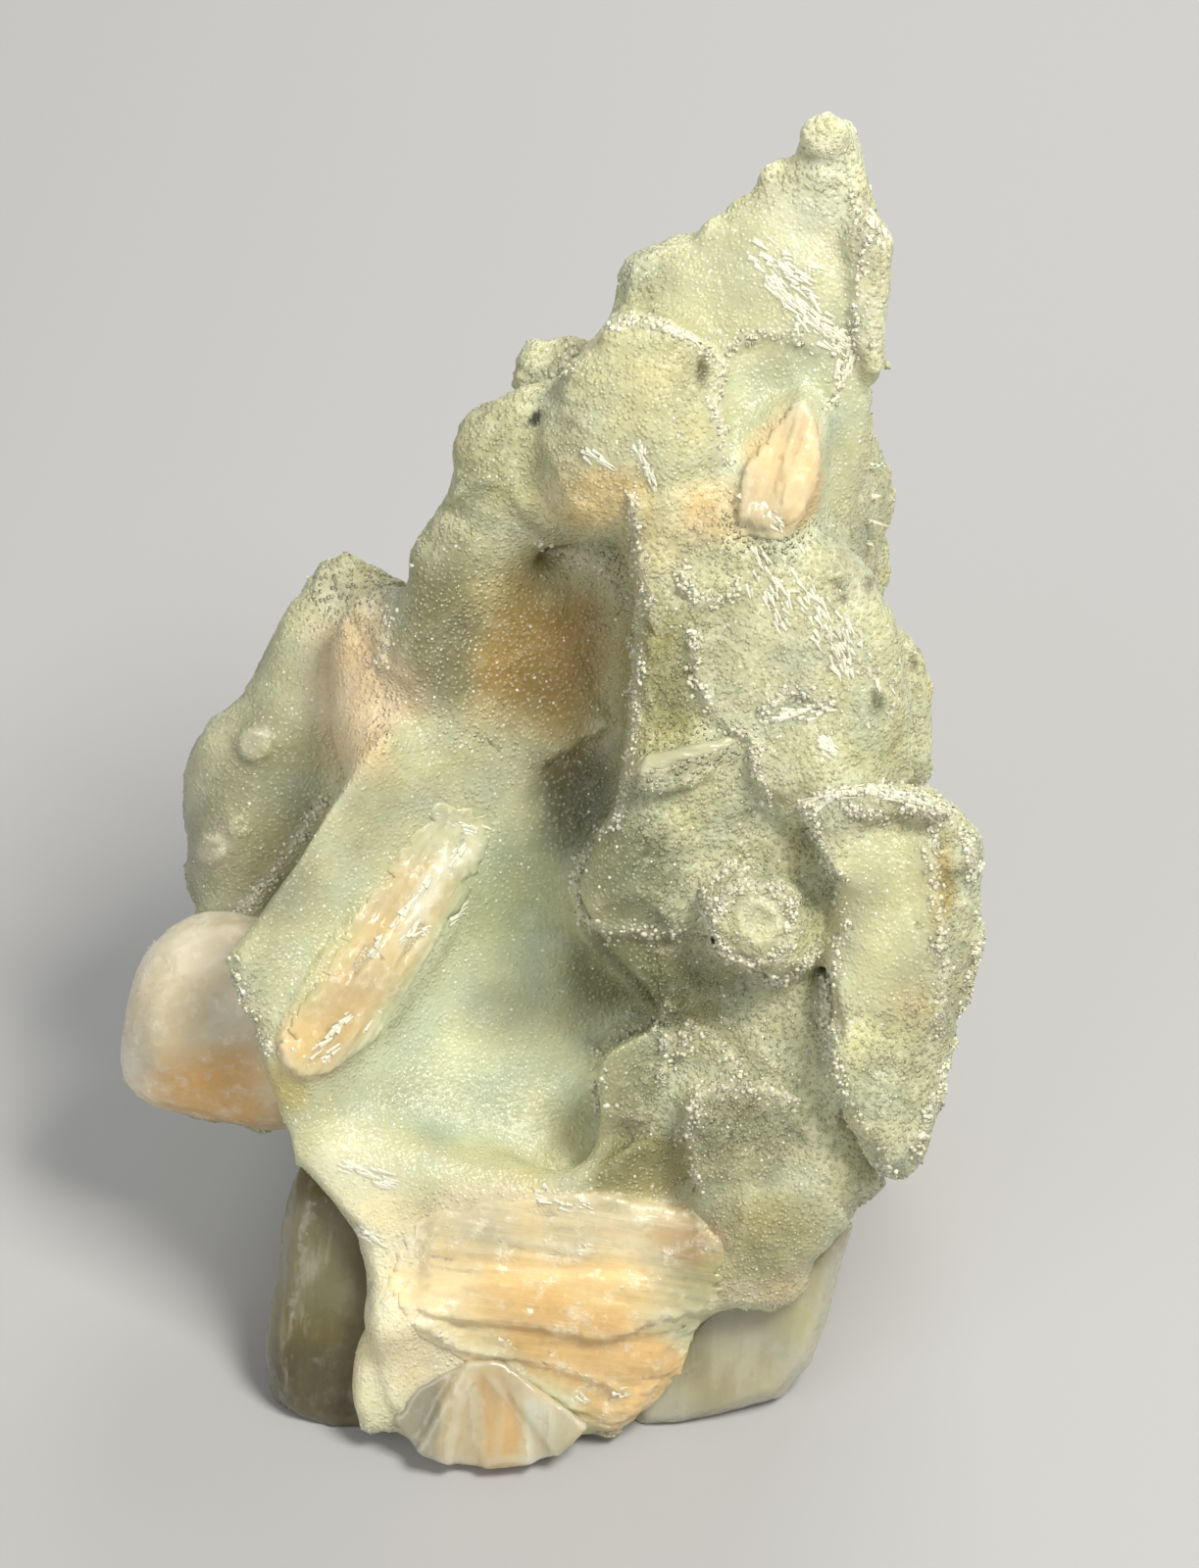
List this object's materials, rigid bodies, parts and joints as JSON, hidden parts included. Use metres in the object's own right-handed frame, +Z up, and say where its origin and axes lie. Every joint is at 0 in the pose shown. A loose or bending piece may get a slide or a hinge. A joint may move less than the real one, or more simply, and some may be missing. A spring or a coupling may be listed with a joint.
{
  "type": "stilbite mineral specimen",
  "caption": "Leaning mineral cluster of pale green druse with a smooth bowl, peach blades and clear crystals, cut off flat to rest on a shelf.",
  "frame": {"origin": "middle of the specimen's footprint box, on the plane that it rests on", "axes": "+Z up, -Y towards the viewer of the crystal face, +X to the viewer's right"},
  "size_m": [0.045, 0.0398, 0.0627],
  "materials": {
    "green_druse": "sugary druse, translucent",
    "pearly_crystal": "pearly",
    "peach_crystal": "pearly, layered",
    "brown_crystal": "waxy",
    "clear_crystal": "clear, glassy",
    "grey_crystal": "cloudy, glassy"
  },
  "bodies": {
    "root": {"druse_matrix": "green_druse", "left_tooth": "pearly_crystal", "bowl_blade": "peach_crystal", "upper_blade": "peach_crystal", "side_crystal": "peach_crystal", "recess_crystal": "brown_crystal", "base_sheaf": "peach_crystal", "base_fan": "clear_crystal", "clear_splinter": "clear_crystal", "clear_block": "clear_crystal", "grey_block": "grey_crystal"}
  },
  "joints": []
}
